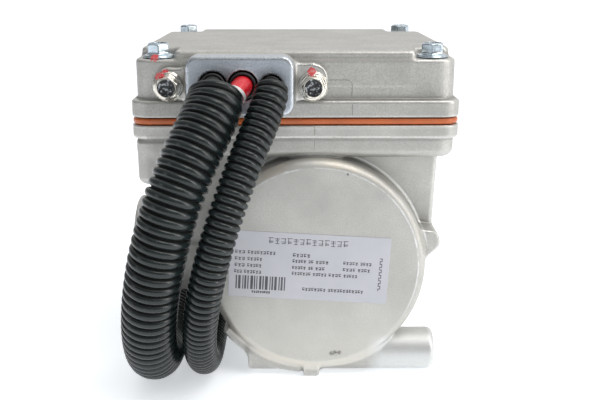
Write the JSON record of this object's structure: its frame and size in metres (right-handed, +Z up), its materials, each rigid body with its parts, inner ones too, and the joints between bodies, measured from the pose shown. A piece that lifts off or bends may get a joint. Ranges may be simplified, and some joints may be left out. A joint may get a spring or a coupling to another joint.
{
  "type": "scroll compressor",
  "caption": "Electric scroll compressor: cast drum with motor and scroll pair, square inverter box on top, cable block with corrugated conduits.",
  "frame": {"origin": "centre of the compressor's box without its cables, on the surface it stands on", "axes": "+Z up, +Y back along the shaft from the motor end to the discharge end, +X to the right seen from the motor end"},
  "size_m": [0.1673, 0.3163, 0.1699],
  "materials": {
    "cast_aluminium": "as-cast, fine grain, satin",
    "block_aluminium": "sand-blasted casting, satin",
    "steel": "ground",
    "zinc_plate": "zinc plated, bluish",
    "gasket_rubber": "orange-red silicone, glossy",
    "black_rubber": "matt black",
    "conduit_plastic": "black corrugated conduit, soft sheen",
    "red_sleeve": "red heat-shrink sleeve, glossy",
    "label_film": null,
    "circuit_board": "green solder mask",
    "dark_plastic": "black moulded",
    "orange_plastic": "orange high-voltage plug",
    "copper": "enamelled copper winding",
    "lamination_steel": "laminated electrical steel",
    "spring_steel": "hardened strip",
    "hard_alloy": "hard anodised, machined",
    "brass": "turned"
  },
  "bodies": {
    "housing": {"motor_housing": "cast_aluminium", "rear_cover": "cast_aluminium", "inverter_cover": "cast_aluminium", "main_frame": "cast_aluminium", "fixed_scroll": "cast_aluminium", "cable_block": "block_aluminium", "hermetic_terminal": "steel", "front_bearing_outer": "steel", "main_bearing_outer": "steel", "anti_rotation_pin_1": "steel", "anti_rotation_pin_2": "steel", "anti_rotation_pin_3": "steel", "reed_stop": "steel", "reed_screw": "steel", "cover_bolt_1": "zinc_plate", "cover_bolt_2": "zinc_plate", "cover_bolt_3": "zinc_plate", "cover_bolt_4": "zinc_plate", "block_bolt_1": "zinc_plate", "block_bolt_2": "zinc_plate", "rear_bolt_1": "zinc_plate", "rear_bolt_2": "zinc_plate", "rear_bolt_3": "zinc_plate", "rear_bolt_4": "zinc_plate", "rear_bolt_5": "zinc_plate", "cover_gasket": "gasket_rubber", "rear_gasket": "black_rubber", "cable_grommet_1": "black_rubber", "cable_grommet_2": "black_rubber", "cable_grommet_3": "black_rubber", "hv_conduit": "conduit_plastic", "lv_conduit": "conduit_plastic", "red_sleeve": "red_sleeve", "rating_label": "label_film", "inverter_board": "circuit_board", "dc_link_capacitor": "dark_plastic", "power_module": "dark_plastic", "lv_connector": "dark_plastic", "hv_connector": "orange_plastic", "front_winding": "copper", "rear_winding": "copper", "stator_core": "lamination_steel", "thrust_plate": "spring_steel"},
    "rotor": {"crankshaft": "steel", "rotor_core": "lamination_steel", "front_balance_weight": "brass", "rear_balance_weight": "brass", "front_bearing_inner": "steel", "main_bearing_inner": "steel", "drive_bush": "steel"},
    "front_cage": {"front_bearing_cage": "brass"},
    "main_cage": {"main_bearing_cage": "brass"},
    "orbiter": {"orbiting_scroll": "hard_alloy", "drive_bearing": "brass", "anti_rotation_ring_1": "steel", "anti_rotation_ring_2": "steel", "anti_rotation_ring_3": "steel"},
    "reed": {"discharge_reed": "spring_steel"}
  },
  "joints": [
    {"name": "rotor_spin", "type": "hinge", "parent": "housing", "child": "rotor", "pos_m": [0.014, 0, 0.06], "axis": [0, 1, 0], "continuous": true},
    {"name": "scroll_orbit", "type": "hinge", "parent": "rotor", "child": "orbiter", "pos_m": [0.014, 0.04425, 0.0628], "axis": [0, 1, 0], "continuous": true},
    {"name": "front_cage_spin", "type": "hinge", "parent": "housing", "child": "front_cage", "pos_m": [0.014, -0.08445, 0.06], "axis": [0, 1, 0], "continuous": true},
    {"name": "main_cage_spin", "type": "hinge", "parent": "housing", "child": "main_cage", "pos_m": [0.014, 0.02245, 0.06], "axis": [0, 1, 0], "continuous": true},
    {"name": "reed_lift", "type": "hinge", "parent": "housing", "child": "reed", "pos_m": [0.014, 0.0705, 0.08], "axis": [1, 0, 0], "range_deg": [0, 7], "stiffness_Nm_per_rad": 0.02}
  ],
  "couplings": [
    {"joint": "scroll_orbit", "follows": "rotor_spin", "ratio": -1},
    {"joint": "front_cage_spin", "follows": "rotor_spin", "ratio": 0.386},
    {"joint": "main_cage_spin", "follows": "rotor_spin", "ratio": 0.403}
  ]
}
